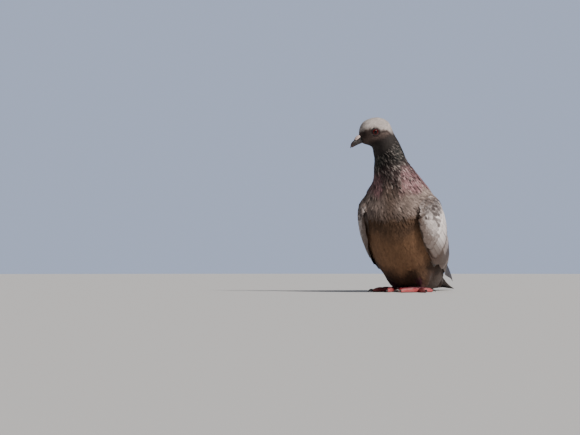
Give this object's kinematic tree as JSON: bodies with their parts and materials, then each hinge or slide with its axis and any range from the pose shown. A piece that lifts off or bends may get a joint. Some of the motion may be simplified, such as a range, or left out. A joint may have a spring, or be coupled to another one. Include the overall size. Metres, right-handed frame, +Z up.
{
  "type": "pigeon figure",
  "caption": "Standing pigeon, life size, as a still museum model: upright body, head turned to its right, wings folded, tail laid on the floor.",
  "frame": {"origin": "middle of the bounding box, on the floor that the feet and the tail rest on", "axes": "+Z up, -Y the way the bird faces, +X to the bird's left"},
  "size_m": [0.1012, 0.241, 0.2023],
  "materials": {
    "feathers_grey": "pale grey head feathers, darker about the face",
    "feathers_dark": "dark neck feathers with a green and purple gloss",
    "feathers_brown": "brown-grey breast and belly feathers",
    "feathers_pale": "whitish wing coverts mottled with grey",
    "feathers_flight": "dark grey-brown flight and tail feathers",
    "horn": "dark horn with a dull shine",
    "cere_skin": "whitish powdery skin",
    "eye": "wet orange-red eye",
    "foot_skin": "pink-red scaled skin"
  },
  "bodies": {
    "root": {"head": "feathers_grey", "neck": "feathers_dark", "trunk": "feathers_brown", "eye_left": "eye", "eye_right": "eye", "bill_upper": "horn", "bill_lower": "horn", "cere": "cere_skin", "wing_left_coverts": "feathers_pale", "wing_left_secondaries": "feathers_flight", "wing_left_primaries": "feathers_flight", "wing_right_coverts": "feathers_pale", "wing_right_secondaries": "feathers_flight", "wing_right_primaries": "feathers_flight", "tail": "feathers_flight", "thigh_left": "feathers_brown", "shank_left": "foot_skin", "toe_left_hind": "foot_skin", "claw_left_hind": "horn", "toe_left_inner": "foot_skin", "claw_left_inner": "horn", "toe_left_middle": "foot_skin", "claw_left_middle": "horn", "toe_left_outer": "foot_skin", "claw_left_outer": "horn", "thigh_right": "feathers_brown", "shank_right": "foot_skin", "toe_right_hind": "foot_skin", "claw_right_hind": "horn", "toe_right_inner": "foot_skin", "claw_right_inner": "horn", "toe_right_middle": "foot_skin", "claw_right_middle": "horn", "toe_right_outer": "foot_skin", "claw_right_outer": "horn"}
  },
  "joints": []
}
